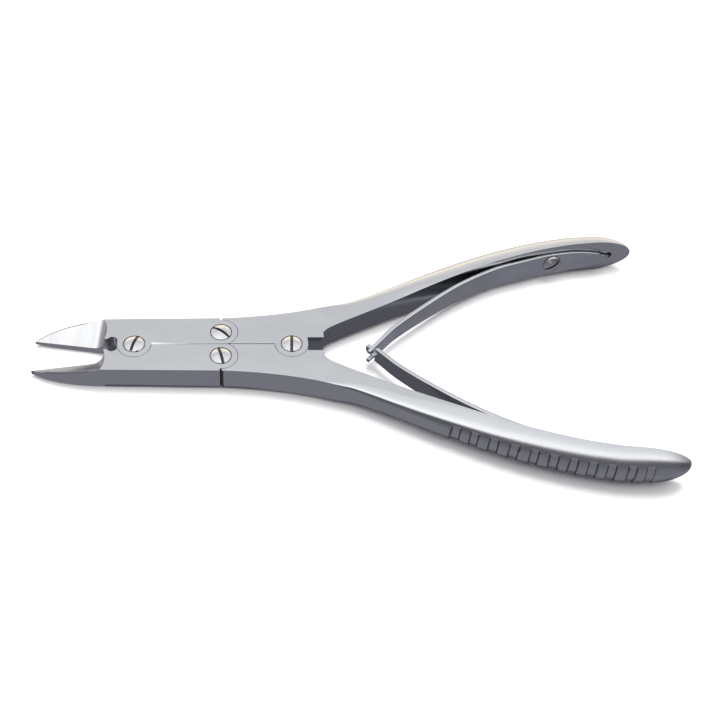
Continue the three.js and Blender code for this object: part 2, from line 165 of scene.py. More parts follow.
STEEL = (0.6, 0.607, 0.62)
DULL_STEEL = (0.575, 0.584, 0.6)
BRIGHT_STEEL = (0.66, 0.665, 0.67)
SPRING_GREY = (0.61, 0.62, 0.64)
SPRING_DARK = (0.54, 0.55, 0.575)
# Dark steel painted as shade: lines along the blades' back edges and the steep ends of the grip grooves.
EDGE_LINE_SHADE = (0.2, 0.2, 0.21)
# Two darks for the shade painted in the screws' slots and in the gaps between jaws and handles, mixed at
# random.
RECESS_SHADE = (0.045, 0.042, 0.042)
RECESS_SHADE_PALE = (0.1, 0.09, 0.085)
FLOOR_COLOUR = (0.93, 0.93, 0.93)
FLOOR = {"level_at_x": 76.3, "slope": 0.0178, "half_size": 2500.0, "gap": 0.01}

# The tent's light by degrees round the long axis: 0 towards +Y, 90 overhead, -90 below.
COOL = (0.985, 0.995, 1.025)
NEUTRAL = (1.0, 1.0, 1.0)
WARM = (1.05, 1.0, 0.93)
AMBER = (1.15, 1.0, 0.78)
SLATE = (0.98, 0.98, 1.13)
TENT = (
    (-180, 0.22, SLATE),
    (-130, 0.28, SLATE),
    (-90, 0.27, SLATE),
    (-40, 0.35, SLATE),
    (-17, 0.7, NEUTRAL),
    (-4, 1.2, WARM),
    (8, 1.45, AMBER),
    (19, 1.15, WARM),
    (34, 0.93, NEUTRAL),
    (46, 0.87, COOL),
    (50.5, 0.88, COOL),
    (52.5, 1.12, COOL),
    (72, 1.14, COOL),
    (85, 1.25, COOL),
    (100, 1.5, NEUTRAL),
    (113, 1.75, NEUTRAL),
    (121, 1.5, NEUTRAL),
    (127, 0.22, SLATE),
    (140, 0.14, SLATE),
    (165, 0.16, SLATE),
    (180, 0.22, SLATE),
)
# How far the tent darkens towards its two ends, by the share of a direction that is along the axis.
TENT_ENDS = {"from": 0.6, "to": 1.0, "level": 0.4}

# Half of a dim card under the tool, painted shade that the steel's sides reflect in place of the floor: x,
# then y of its two edges.
SHADE_CARD = (
    (-52.0, 0.0, 10.2),
    (-20.0, 0.0, 10.7),
    (0.0, 0.0, 12.3),
    (12.0, 0.0, 16.2),
    (22.0, -1.5, 20.4),
    (30.0, 7.2, 24.4),
    (45.0, 19.5, 32.0),
    (60.0, 28.8, 38.6),
    (75.0, 34.3, 43.3),
    (90.0, 37.3, 46.0),
    (105.0, 38.1, 46.8),
)
# The card's faint glow sets how dark the painted shade in the steel's reflections is.
SHADE_CARD_GLOW = (0.09, 0.09, 0.105)
KEY = {"place": (0.1, 0.3, 0.9), "size": 0.5, "power": 9.0}
CAMERA = {
    "target": (2.2437, 0.0027, 2.4), "distance": 351.25, "lens": 60.7538, "sensor": 36,
    "azimuth": -8.5595, "elevation": 49.4818, "roll": 6.3593,
}


# ---------------------------------------------------------------- tables and curves

def read_table(rows, x):
    """Values of a table of rows (x, values...) at x, passing smoothly through every row."""
    i = 0
    while i < len(rows) - 2 and x > rows[i + 1][0]:
        i += 1
    low, high = rows[i], rows[i + 1]
    before, after = rows[max(i - 1, 0)], rows[min(i + 2, len(rows) - 1)]
    span = high[0] - low[0]
    t = (x - low[0]) / span
    values = []
    for c in range(1, len(low)):
        low_rise = span * (high[c] - before[c]) / (high[0] - before[0])
        high_rise = span * (after[c] - low[c]) / (after[0] - low[0])
        level = low[c] + (high[c] - low[c]) * (3 * t**2 - 2 * t**3)
        values.append(level + low_rise * t * (1 - t) ** 2 - high_rise * t**2 * (1 - t))
    return values


def heading_at(rows, x):
    """Direction of a table's line, as an angle from the x axis."""
    step = 0.05
    return math.atan2(read_table(rows, x + step)[0] - read_table(rows, x - step)[0], 2 * step)


def tail_row(x, gap, thickness, width, drop):
    """A row of a leaf's middle line beside the arm, to a hundredth of a millimetre."""
    inwards = (thickness / 2 + gap) / math.cos(heading_at(ARM, x))
    return x, round(read_table(ARM, x)[0] - inwards, 2), thickness, width, drop


LEAF = LEAF_FRONT + tuple(tail_row(*row) for row in LEAF_TAIL)


def arc(centre, radius, start, end, steps):
    """Points of an arc between two angles in degrees."""
    points = []
    for i in range(steps + 1):
        turn = math.radians(start + (end - start) * i / steps)
        points.append((centre[0] + radius * math.cos(turn), centre[1] + radius * math.sin(turn)))
    return points


def bow(start, control, end, steps):
    """Points of a quadratic curve after its start."""
    points = []
    for i in range(1, steps + 1):
        t = i / steps
        weights = ((1 - t) ** 2, 2 * t * (1 - t), t**2)
        points.append(tuple(sum(w * p[k] for w, p in zip(weights, (start, control, end))) for k in (0, 1)))
    return points


def angle_where(centre, radius, y):
    """Angle below the horizontal, in degrees, where a circle meets a level line."""
    return math.degrees(math.asin((centre[1] - y) / radius))


# ---------------------------------------------------------------- meshes

def new_object(name, bm, side=1, placed=None):
    """Turns a placed bmesh in millimetres into an object in metres; side -1 puts it on the lower half."""
    if placed is not None:
        bm.transform(placed)
    bmesh.ops.recalc_face_normals(bm, faces=bm.faces)
    for vertex in bm.verts:
        x, y, z = vertex.co
        vertex.co = ((x + REAR_PIVOT_ROW_X) * MM, side * y * MM, z * MM)
    if side < 0:
        bmesh.ops.reverse_faces(bm, faces=bm.faces)
    mesh = bpy.data.meshes.new(name)
    bm.to_mesh(mesh)
    bm.free()
    piece = bpy.data.objects.new(name, mesh)
    bpy.context.scene.collection.objects.link(piece)
    return piece


def prism(outline, low, high):
    """An upright prism on an outline."""
    bm = bmesh.new()
    bottom = [bm.verts.new((x, y, low)) for x, y in outline]
    top = [bm.verts.new((x, y, high)) for x, y in outline]
    bm.faces.new(bottom)
    bm.faces.new(top)
    for i in range(len(outline)):
        j = (i + 1) % len(outline)
        bm.faces.new((bottom[i], bottom[j], top[j], top[i]))
    return bm


def post(centre, radius, low, high, steps=96):
    """An upright round post."""
    return prism(arc(centre, radius, 0, 360 - 360 / steps, steps - 1), low, high)


def block(xs, ys, zs):
    """A box between pairs of values on each axis."""
    return prism([(xs[0], ys[0]), (xs[1], ys[0]), (xs[1], ys[1]), (xs[0], ys[1])], *zs)


def loft(rings):
    """Skins a row of equal rings, with a flat cap at each end."""
    bm = bmesh.new()
    rows = [[bm.verts.new(point) for point in ring] for ring in rings]
    count = len(rings[0])
    for row, following in zip(rows, rows[1:]):
        for k in range(count):
            m = (k + 1) % count
            bm.faces.new((row[k], row[m], following[m], following[k]))
    bm.faces.new(rows[0])
    bm.faces.new(rows[-1])
    return bm


def baked(piece):
    """Applies a piece's modifiers."""
    graph = bpy.context.evaluated_depsgraph_get()
    mesh = bpy.data.meshes.new_from_object(piece.evaluated_get(graph), depsgraph=graph)
    piece.modifiers.clear()
    old = piece.data
    piece.data = mesh
    bpy.data.meshes.remove(old)
    return piece


def carve(piece, *tools, operation="DIFFERENCE"):
    """Cuts tools out of a piece, or works them in by another operation, and removes them."""
    for tool in tools:
        modifier = piece.modifiers.new("carve", "BOOLEAN")
        modifier.operation = operation
        modifier.solver = "EXACT"
        modifier.object = tool
    bpy.context.view_layer.update()
    baked(piece)
    for tool in tools:
        bpy.data.meshes.remove(tool.data)
    return piece


def unite(piece, *others):
    return carve(piece, *others, operation="UNION")


def soften(piece, width_of, widest=CORNER):
    """Rounds the sharp edges for which width_of(middle, direction) gives a width in millimetres."""
    bm = bmesh.new()
    bm.from_mesh(piece.data)
    layer = bm.edges.layers.float.new("bevel_weight_edge")
    for edge in bm.edges:
        if len(edge.link_faces) == 2 and edge.calc_face_angle() > math.radians(SHARP_FROM):
            start, end = (vertex.co / MM - Vector((REAR_PIVOT_ROW_X, 0, 0)) for vertex in edge.verts)
            edge[layer] = width_of((start + end) / 2, (end - start).normalized()) / widest
    bm.to_mesh(piece.data)
    bm.free()
    bevel = piece.modifiers.new("soften", "BEVEL")
    bevel.limit_method = "WEIGHT"
    bevel.width = widest * MM
    bevel.segments = 3
    bevel.use_clamp_overlap = False
    bevel.harden_normals = False
    bpy.context.view_layer.update()
    return baked(piece)


def shade(piece):
    piece.data.shade_smooth()
    piece.data.set_sharp_from_angle(angle=math.radians(SHARPEST_SMOOTH))
    weighted = piece.modifiers.new("weighted", "WEIGHTED_NORMAL")
    weighted.keep_sharp = True
    weighted.weight = 100
    bpy.context.view_layer.update()
    return baked(piece)


def drawing_points(piece):
    """The piece's points in millimetres on the upper half's drawing."""
    for vertex in piece.data.vertices:
        x, y, z = vertex.co / MM
        yield Vector((x - REAR_PIVOT_ROW_X, abs(y), z))


def store_grain(piece, measure):
    """Keeps at every point what measure(point) gives: lengths along the grain, across it and upwards."""
    attribute = piece.data.attributes.new("grain", "FLOAT_VECTOR", "POINT")
    for item, point in zip(attribute.data, drawing_points(piece)):
        item.vector = measure(point)


def mark_faces(piece, material_of):
    """Gives each face the material whose number material_of(middle, normal) returns, as on the upper half."""
    for face in piece.data.polygons:
        x, y, z = face.center / MM
        normal = Vector((face.normal.x, face.normal.y * math.copysign(1, y), face.normal.z))
        face.material_index = material_of(Vector((x - REAR_PIVOT_ROW_X, abs(y), z)), normal)


def along_line(line, point, start):
    """Length along a line to the place nearest a point, how far out the point lies, and its height."""
    best, travelled = None, start[0]
    for (ax, ay), (bx, by) in zip(line, line[1:]):
        length = math.hypot(bx - ax, by - ay)
        ux, uy = (bx - ax) / length, (by - ay) / length
        along = (point.x - ax) * ux + (point.y - ay) * uy
        inside = min(max(along, 0.0), length)
        gap = math.hypot(point.x - ax - ux * inside, point.y - ay - uy * inside)
        if best is None or gap < best[0]:
            outwards = (point.y - ay) * ux - (point.x - ax) * uy
            best = (gap, travelled + (along if gap else inside), outwards)
        travelled += length
    return best[1], start[1] + best[2], point.z


def join(piece, *others):
    """Adds the meshes of others to a piece, and removes them."""
    bm = bmesh.new()
    for item in (piece, *others):
        bm.from_mesh(item.data)
    bm.to_mesh(piece.data)
    bm.free()
    for item in others:
        bpy.data.meshes.remove(item.data)
    return piece


# ---------------------------------------------------------------- half-lapped pivots

TOP_LAYER = (MID_Z + LAYER_GAP, BOX_TOP)
BOTTOM_LAYER = (BOX_BOTTOM, MID_Z - LAYER_GAP)

def recess(pivot, lug_layer, side):
    """Cutter that clears the layer in which the other piece has its lug."""
    if lug_layer is TOP_LAYER:
        low, high = BOX_BOTTOM - BEYOND, MID_Z + LAYER_GAP
    else:
        low, high = MID_Z - LAYER_GAP, BOX_TOP + BEYOND
    return new_object("recess", post(pivot, LUG_RADIUS + LUG_GAP, low, high), side)


def screw_bore(pivot, side):
    """Cutters for a pivot screw's shank and for the seat of its head."""
    shank = post(pivot, SCREW["shank"] + SEAT_GAP, BOX_BOTTOM - BEYOND, BOX_TOP + BEYOND, 64)
    seat = post(pivot, SCREW["head"] + HEAD_GAP, BOX_TOP - SCREW["seat_depth"], BOX_TOP + BEYOND)
    return [new_object("shank_bore", shank, side), new_object("seat", seat, side)]


def edge_width(middle, direction):
    """How far an edge is eased: only the edges round the flat faces are."""
    on_face = min(abs(middle.z - BOX_TOP), abs(middle.z - BOX_BOTTOM)) < TOLERANCE
    return CORNER if on_face and abs(direction.z) < TOLERANCE else 0.0


# ---------------------------------------------------------------- jaws

def jaw_outline():
    """A jaw seen from above, with its lugs at the front pivot and at the link."""
    rear_x = LINK_PIVOT[0] - LINK_GAP / 2
    notch = FRONT_NOTCH
    link_turn = angle_where(LINK_PIVOT, LUG_RADIUS, SEAM)
    front_turn = -angle_where(FRONT_PIVOT, LUG_RADIUS, SEAM)
    link_top = math.degrees(math.acos((rear_x - LINK_PIVOT[0]) / LUG_RADIUS))
    outline = arc(LINK_PIVOT, LUG_RADIUS, link_top, -link_turn, 60)
    outline += arc(FRONT_PIVOT, LUG_RADIUS, front_turn, -180 - front_turn, 72)
    outline += [(notch["rear_x"], SEAM)]
    rounding = notch["rear_x"] - notch["round_x"]
    centre = (notch["round_x"], notch["round_top"] - rounding)
    round_end_x = centre[0] - 1.1 * rounding
    outline += arc(centre, rounding, 0, 150, 24)
    outline += [(round_end_x, notch["half_width"]), (notch["front_x"], notch["half_width"])]
    outline += [BLADE_EDGE_START, (JAW_TIP_X, BLADE_TIP_Y[0]), (JAW_TIP_X, BLADE_TIP_Y[1])]
    back_end = (BLADE_BACK["rear_x"], SIDE_AT_JAW)
    outline += bow((JAW_TIP_X, BLADE_TIP_Y[1]), BLADE_BACK["control"], back_end, 40)
    outline += [(rear_x, SIDE_AT_LINK)]
    return outline


def grinding_cutter(side):
    """Everything above a blade's ground face, which starts at the edge and runs out in a hollow curve."""
    reach = 30.0
    radius = GRIND_RADIUS
    profile = [(reach, 0.0), (reach, reach), (0.0, reach)]
    profile += arc((radius, radius), radius, 180, 270, 28)
    bm = prism(profile, -reach / 3, 2 * reach / 3)
    root = Vector((BLADE_ROOT[0], BLADE_ROOT[1], BOX_BOTTOM + EDGE_HEIGHT))
    tip = Vector((JAW_TIP_X, BLADE_TIP_Y[0], BOX_BOTTOM + EDGE_HEIGHT))
    along = (tip - root).normalized()
    outward = Vector((along.y, -along.x, 0))
    normal = (Vector((0, 0, 1)) - GRIND_SLOPE * outward).normalized()
    placed = Matrix((along, normal, along.cross(normal))).transposed().to_4x4()
    placed.translation = root
    placed = placed @ Matrix.Rotation(math.radians(-GRIND_TURN), 4, "Y")
    return new_object("grinding", bm, side, placed)


def seam_wedge():
    """Cutter that breaks the upper jaw's seam edge, widely beside the front lug and running out behind it."""
    wedge = SEAM_WEDGE
    upper = Vector((wedge["front_x"], SEAM + wedge["width"], BOX_TOP))
    lower = Vector((wedge["front_x"], SEAM, BOX_TOP - wedge["height"]))
    along = (Vector((wedge["rear_x"], SEAM, BOX_TOP)) - lower).normalized()
    normal = along.cross(lower - upper).normalized()
    normal = normal if normal.z > 0 else -normal
    placed = Matrix((along, normal.cross(along), normal)).transposed().to_4x4()
    placed.translation = lower
    return new_object("seam_wedge", block((0, 30), (-3, 3), (0, 3)), 1, placed)


def tip_rise_cutter(side):
    """Everything under a jaw's underside, which rises a little from the joint to the blade's tip."""
    low = BOX_BOTTOM - BEYOND
    tip = (JAW_TIP_X, BOX_BOTTOM + TIP_RISE["height"])
    profile = [(TIP_RISE["from_x"], BOX_BOTTOM), tip, (tip[0] - BEYOND, tip[1]), (tip[0] - BEYOND, low)]
    bm = prism(profile + [(TIP_RISE["from_x"], low)], -20, 20)
    return new_object("tip_rise", bm, side, Matrix.Rotation(math.pi / 2, 4, "X"))


def jaw_edge_width(middle, direction):
    """As edge_width, with the blade's back edge rounded over and its cutting edge left sharp."""
    easing = BLADE_BACK_EASING
    above_edge = middle.z > BOX_BOTTOM + EDGE_HEIGHT + easing["above_edge"]
    if middle.x < easing["from_x"] and above_edge and abs(direction.x) > 0.5:
        share = (easing["from_x"] - middle.x) / (easing["from_x"] - easing["full_x"])
        return easing["width"] * min(share, 1.0)
    return edge_width(middle, direction)


def in_link_gap(middle, normal):
    """Whether a face lies in the narrow gap between a jaw and its handle, where shade is painted."""
    beside = abs(middle.x - LINK_PIVOT[0]) < LINK_GAP_SHADE["half_width"]
    return beside and middle.y > LINK_GAP_SHADE["inner_y"] and abs(normal.z) < 0.5


def jaw_material(middle, normal):
    """0 for satin steel, 1 for painted shade in the link gap, 2 for a painted shade line along a blade's
    back, 3 for its ground face.
    """
    if in_link_gap(middle, normal):
        return 1
    in_front = middle.x < GROUND_TO_X and middle.z < BOX_TOP - CORNER - TOLERANCE
    sloping = 0.15 < normal.z < 0.999
    if not in_front or not sloping:
        return 0
    on_back = normal.y > -0.45 and abs(normal.x) < 0.4
    return 2 if on_back else 3


def make_jaw(name, side, front_layer):
    """A jaw with its half-thickness lugs, its screws' bores and its ground blade."""
    jaw = new_object(name, prism(jaw_outline(), BOX_BOTTOM, BOX_TOP), side)
    tools = [recess(FRONT_PIVOT, front_layer, side), recess(LINK_PIVOT, TOP_LAYER, side)]
    tools += screw_bore(FRONT_PIVOT, side) + screw_bore(LINK_PIVOT, side)
    if side > 0:
        relief = block(RELIEF["x"], RELIEF["y"], (BOX_BOTTOM - BEYOND, MID_Z - LAYER_GAP))
        tools.append(new_object("relief", relief, side))
    carve(jaw, *tools, grinding_cutter(side), tip_rise_cutter(side))
    soften(jaw, jaw_edge_width, BLADE_BACK_EASING["width"])
    if side > 0:
        carve(jaw, seam_wedge())
    store_grain(jaw, lambda point: (point.x, point.y, point.z))
    mark_faces(jaw, jaw_material)
    return shade(jaw)


# ---------------------------------------------------------------- handles

def arm_frame(x):
    """Inner point of an arm at x and its outward direction, in plan."""
    y = read_table(ARM, x)[0]
    heading = heading_at(ARM, x)
    return (x, y), (-math.sin(heading), math.cos(heading))


def arm_point(x, across):
    """The point of an arm's plan that is across from its inner face at x."""
    (px, py), (ox, oy) = arm_frame(x)
    return px + ox * across, py + oy * across


def handle_outline():
    """The joint end of a handle seen from above, as far as the shoulder where its arm starts."""
    front_x = LINK_PIVOT[0] + LINK_GAP / 2
    notch = REAR_NOTCH
    link_turn = angle_where(LINK_PIVOT, LUG_RADIUS, SEAM)
    rear_turn = -angle_where(REAR_PIVOT, LUG_RADIUS, SEAM)
    link_top = math.degrees(math.acos((front_x - LINK_PIVOT[0]) / LUG_RADIUS))
    shoulder_x, shoulder_y, shoulder_thickness = ARM[SHOULDER][:3]
    shoulder_outer = arm_point(shoulder_x, shoulder_thickness)
    outline = arc(LINK_PIVOT, LUG_RADIUS, link_top, 180 + link_turn, 60)
    outline += arc(REAR_PIVOT, LUG_RADIUS, -180 - rear_turn, rear_turn, 72)
    outline += [(notch["front_x"], notch["half_width"]), (notch["rear_x"], notch["half_width"])]
    crotch = (notch["rear_x"], notch["crotch_y"])
    outline += [crotch] + bow(crotch, notch["control"], (shoulder_x, shoulder_y), 16)
    outline += [shoulder_outer]
    outline += bow(shoulder_outer, HANDLE_SIDE_CONTROL, (front_x, SIDE_AT_LINK), 60)
    return outline


def groove_at(x, height):
    """Depth of the nearest grip groove, from 0 to 1; each was ground by hand, so they vary a little."""
    number = round((x - GROOVES["first"]) / GROOVES["pitch"])
    if not 0 <= number < GROOVES["count"]:
        return 0.0
    wander = GROOVES_VARY["place"] * math.sin(5.3 * number)
    wander += GROOVES_VARY["skew"] * height * math.sin(2.1 * number + 1)
    length = GROOVES["length"] * (1 + GROOVES_VARY["length"] * math.sin(3.7 * number + 2))
    across = 2 * (x - GROOVES["first"] - number * GROOVES["pitch"] - wander) / length
    return max(0.0, 1 - across**6)


def arm_section(x):
    """Upper half of an arm's section at x, and half its width.

    Its points are (across, up) from the middle of the inner face to the outer side.
    """
    _, thickness, width, across_share, up_share = read_table(ARM, x)
    into_round = max(0.0, (x - END_ROUND_X) / (HANDLE_END_X - END_ROUND_X))
    taper = math.sqrt(1 - into_round**2)
    thickness *= taper
    half = width / 2 * taper
    across, up, easing = thickness * across_share, half * up_share, CORNER * taper
    flat_end = thickness - across
    section = [(0.0, 0.0), (0.0, half / 2)]
    for degrees in (0, 30, 60, 90):
        turn = math.radians(degrees)
        section.append((easing * (1 - math.cos(turn)), half - easing * (1 - math.sin(turn))))
    section += [(easing + (flat_end - easing) * share, half) for share in (0.33, 0.67)]
    for step in range(OUTER_STEPS + 1):
        turn = step / OUTER_STEPS * math.pi / 2
        outwards = math.sin(turn) ** ROUNDING_POWER
        upwards = math.cos(turn) ** ROUNDING_POWER
        section.append((flat_end + across * outwards, half - up + up * upwards))
    section += [(thickness, (half - up) * share) for share in (0.67, 0.33, 0.0)]
    return section, half


def arm_ring(x):
    """A whole section of an arm, with the grip grooves let into its outer side."""
    section, half = arm_section(x)
    lower = [(across, -up) for across, up in reversed(section[1:-1])]
    ring = []
    for across, up in section + lower:
        reach = GROOVES["reach"][int(up > 0)]
        fade = min(max((reach - abs(up) / half) / GROOVES["fade"], 0.0), 1.0)
        fade = fade if across > 1 else 0.0
        px, py = arm_point(x, across - GROOVES["depth"] * fade * groove_at(x, up))
        ring.append((px, py, MID_Z + up))
    return ring


def arm_stations():
    """Places along an arm for its sections, close together where the grooves are and round its end."""
    groove_start = GROOVES["first"] - GROOVES["pitch"] / 2
    groove_end = GROOVES["first"] + (GROOVES["count"] - 0.5) * GROOVES["pitch"]
    stations = list(np.arange(ARM[SHOULDER][0], groove_start, 0.6))
    stations += list(np.arange(groove_start, groove_end, 0.2))
    for degrees in range(22, 90, 4):
        stations.append(END_ROUND_X + (HANDLE_END_X - END_ROUND_X) * math.sin(math.radians(degrees)))
    return [x for i, x in enumerate(stations) if i == 0 or x > stations[i - 1] + 0.02]


def arm_line():
    """Points along the middle of an arm's inner face."""
    return [arm_frame(x)[0] for x in np.arange(ARM[SHOULDER][0], HANDLE_END_X + 1, 1.0)]


def spring_axis():
    """Frame of the upper spring screw: at the leaf's middle, with +Z turning outwards into the arm."""
    leaf_y = read_table(LEAF, SPRING_SCREW["x"])[0]
    turn = Matrix.Rotation(SPRING_SCREW["tilt"], 4, "Z") @ Matrix.Rotation(-math.pi / 2, 4, "X")
    return Matrix.Translation((SPRING_SCREW["x"], leaf_y, MID_Z)) @ turn


def handle_edge_width(middle, direction):
    """As edge_width, but nothing is eased where the arm carries on from the joint."""
    inner_x, inner_y, thickness = ARM[SHOULDER][:3]
    outer_x, outer_y = arm_point(inner_x, thickness)
    along = Vector((outer_x - inner_x, outer_y - inner_y)).normalized()
    offset = Vector((middle.x - inner_x, abs(middle.y) - inner_y))
    if abs(along.cross(offset)) < TOLERANCE:
        return 0.0
    return edge_width(middle, direction)


def handle_material(middle, normal):
    """0 for satin steel, 1 for painted shade in the link gap, 2 for painted shade on the steep ends of the
    grip grooves.
    """
    heading = heading_at(ARM, middle.x)
    along = normal.x * math.cos(heading) + normal.y * math.sin(heading)
    outward = normal.y * math.cos(heading) - normal.x * math.sin(heading)
    beside_grooves = GROOVES["first"] - GROOVES["pitch"] < middle.x < END_ROUND_X + GROOVES["pitch"]
    steep_end = outward > 0.2 and abs(along) > 0.3
    if beside_grooves and steep_end:
        return 2
    return int(in_link_gap(middle, normal))


def make_handle(name, side, rear_layer):
    """A handle: its joint end, and its arm with the spring's boss, bore and peg hole."""
    joint_end = new_object(name, prism(handle_outline(), BOX_BOTTOM, BOX_TOP), side)
    tools = [recess(REAR_PIVOT, rear_layer, side), recess(LINK_PIVOT, BOTTOM_LAYER, side)]
    tools += screw_bore(REAR_PIVOT, side) + screw_bore(LINK_PIVOT, side)
    carve(joint_end, *tools)
    soften(joint_end, handle_edge_width)
    store_grain(joint_end, lambda point: (point.x, point.y, point.z))

    bore_radius = SPRING_SCREW["shank"] + SEAT_GAP
    leaf_face = read_table(LEAF, SPRING_SCREW["x"])[1] / 2 + LAYER_GAP
    bore = post((0, 0), bore_radius, 0, SPRING_SCREW["depth"] + SEAT_GAP, 32)
    boss = post((0, 0), BOSS_RADIUS, leaf_face, SPRING_SCREW["depth"] - 1, 64)
    hole_frame = Matrix.Translation((PEG["x"], read_table(ARM, PEG["x"])[0], MID_Z))
    peg_hole = post((0, 0), PEG_HOLE["radius"], -BEYOND, PEG_HOLE["depth"], 40)
    arm = new_object("arm", loft([arm_ring(x) for x in arm_stations()]), side)
    carve(arm, new_object("peg_hole", peg_hole, side, hole_frame @ Matrix.Rotation(-math.pi / 2, 4, "X")))
    arm = unite(arm, new_object("boss", boss, side, spring_axis()))
    carve(arm, new_object("bore", bore, side, spring_axis()))
    line = arm_line()
    store_grain(arm, lambda point: along_line(line, point, ARM[SHOULDER][:2]))
    handle = join(joint_end, arm)
    mark_faces(handle, handle_material)
    return shade(handle)


# ---------------------------------------------------------------- leaf springs

def leaf_line():
    """Points along the middle of a leaf."""
    return [(x, read_table(LEAF, x)[0]) for x in np.arange(LEAF[0][0], PEG["x"], 1.0)]


def leaf_stations():
    """(x, y, heading, thickness, width, drop) along a leaf, from its tip to the end of its tail's peg."""
    stations = []
    for x in np.linspace(LEAF[0][0], LEAF[-1][0], LEAF_STEPS):
        y, thickness, width, drop = read_table(LEAF, x)
        stations.append((x, y, heading_at(LEAF, x), thickness, width, drop))
    tail_x, tail_y, tail_thickness, tail_width, tail_drop = LEAF[-1]
    bend = PEG["bend"]
    for step in range(1, PEG_STEPS + 1):
        share = step / PEG_STEPS
        turn = share * math.pi / 2
        x = tail_x + (PEG["x"] - tail_x) * math.sin(turn)
        y = tail_y + bend * (1 - math.cos(turn))
        thickness = tail_thickness + (PEG["thickness"] - tail_thickness) * share
        width = tail_width + (PEG["width"] - tail_width) * math.sqrt(share)
        stations.append((x, y, turn, thickness, width, tail_drop))
    stations.append((PEG["x"], PEG["end_y"], math.pi / 2, PEG["thickness"], PEG["width"], tail_drop))
    return stations


def leaf_ring(x, y, heading, thickness, width, drop):
    """A section of a leaf: a rectangle with eased long edges."""
    easing = LEAF_EASING * thickness
    ring = []
    for corner_turn in (0, 90, 180, 270):
        quarter = math.radians(corner_turn + 45)
        corner_across = math.copysign(thickness / 2 - easing, math.cos(quarter))
        corner_up = math.copysign(width / 2 - easing, math.sin(quarter))
        for step in (0, 30, 60, 90):
            turn = math.radians(corner_turn + step)
            across = corner_across + easing * math.cos(turn)
            up = corner_up + easing * math.sin(turn)
            ring.append((x - math.sin(heading) * across, y + math.cos(heading) * across, MID_Z - drop + up))
    return ring


def across_tip(length, low, high, side):
    """Cutter across the leaf's tip between two heights above its middle."""
    tip_x, tip_y = LEAF[0][:2]
    placed = Matrix.Translation((tip_x, tip_y, MID_Z)) @ Matrix.Rotation(heading_at(LEAF, tip_x), 4, "Z")
    return new_object("across_tip", block((-BEYOND, length), (-BEYOND, BEYOND), (low, high)), side, placed)


def make_spring(name, side):
    """The upper leaf ends in a fork, and the lower one in a tongue that passes through it."""
    leaf = new_object(name, loft([leaf_ring(*station) for station in leaf_stations()]), side)
    hole = post((0, 0), SPRING_SCREW["shank"] + SEAT_GAP, -BEYOND, BEYOND, 32)
    tools = [new_object("screw_hole", hole, side, spring_axis())]
    if side > 0:
        tools.append(across_tip(FORK["length"], -FORK["slot"] / 2, FORK["slot"] / 2, side))
    else:
        tools.append(across_tip(TONGUE["length"], TONGUE["width"] / 2, MID_Z, side))
        tools.append(across_tip(TONGUE["length"], -MID_Z, -TONGUE["width"] / 2, side))
    carve(leaf, *tools)
    line = leaf_line()
    store_grain(leaf, lambda point: along_line(line, point, (0, 0)))
    return shade(leaf)


# ---------------------------------------------------------------- screws

def turned(profile, steps):
    """A solid turned about +Z from a profile of (radius, height) points that starts and ends on the axis."""
    bm = bmesh.new()
    rows = []
    for radius, height in profile[1:-1]:
        turns = [2 * math.pi * k / steps for k in range(steps)]
        rows.append([bm.verts.new((radius * math.cos(t), radius * math.sin(t), height)) for t in turns])
    for row, following in zip(rows, rows[1:]):
        for k in range(steps):
            m = (k + 1) % steps
            bm.faces.new((row[k], row[m], following[m], following[k]))
    for row, (_, height) in ((rows[0], profile[0]), (rows[-1], profile[-1])):
        middle = bm.verts.new((0, 0, height))
        for k in range(steps):
            bm.faces.new((row[k], row[(k + 1) % steps], middle))
    return bm


def make_screw(name, placed, slot_degrees, side, size, rim, length):
    """A slotted screw along +Z, the underside of its head at zero: a low dome with an eased rim."""
    head, shank, dome = size["head"], size["shank"], size["dome"]
    crown = head - RIM_EASING
    profile = [(0.0, -length), (shank - SLOT_EASING, -length), (shank, SLOT_EASING - length), (shank, 0.0)]
    profile += [(head, 0.0), (head, rim - 1.5 * RIM_EASING)]
    profile += arc((crown, rim - RIM_EASING), RIM_EASING, 0, RIM_TURN, 5)
    for step in range(1, DOME_STEPS):
        radius = crown * (1 - step / DOME_STEPS)
        profile.append((radius, rim + dome * (1 - (radius / crown) ** 2)))
    profile.append((0.0, rim + dome))
    screw = new_object(name, turned(profile, 96), side, placed)
    width, depth = SLOT["width"], SLOT["depth"]
    reach = head + BEYOND
    slot = block((-reach, reach), (-width / 2, width / 2), (rim + dome - depth, rim + dome + BEYOND))
    turn = Matrix.Rotation(math.radians(side * slot_degrees), 4, "Z")
    carve(screw, new_object("slot", slot, side, placed @ turn))
    soften(screw, lambda middle, direction: SLOT_EASING)

    away = placed.inverted()

    def turned_grain(point):
        local = away @ point
        return math.atan2(local.y, local.x) * head, math.hypot(local.x, local.y), local.z

    across_slot = (placed @ turn).inverted()

    def in_slot(middle, normal):
        """1 on the slot's walls and floor, below a thin lip: these faces are painted in shade."""
        local = across_slot @ middle
        radius = min(math.hypot(local.x, local.y) / crown, 1.0)
        surface = rim + dome * (1 - radius**2)
        below_lip = surface - depth - BEYOND < local.z < surface - SLOT["unshaded_top"]
        return int(abs(local.y) < width / 2 + TOLERANCE and below_lip)

    store_grain(screw, turned_grain)
    mark_faces(screw, in_slot)
    return shade(screw)


def make_pivot_screw(name, pivot, side, slot_degrees):
    """A screw in a pivot's seat, its rim a little proud of the joint."""
    seat_z = BOX_TOP - SCREW["seat_depth"] + LAYER_GAP
    rim = BOX_TOP + SCREW["rim"] - seat_z
    placed = Matrix.Translation((*pivot, seat_z))
    return make_screw(name, placed, slot_degrees, side, SCREW, rim, seat_z - BOX_BOTTOM - SEAT_GAP)


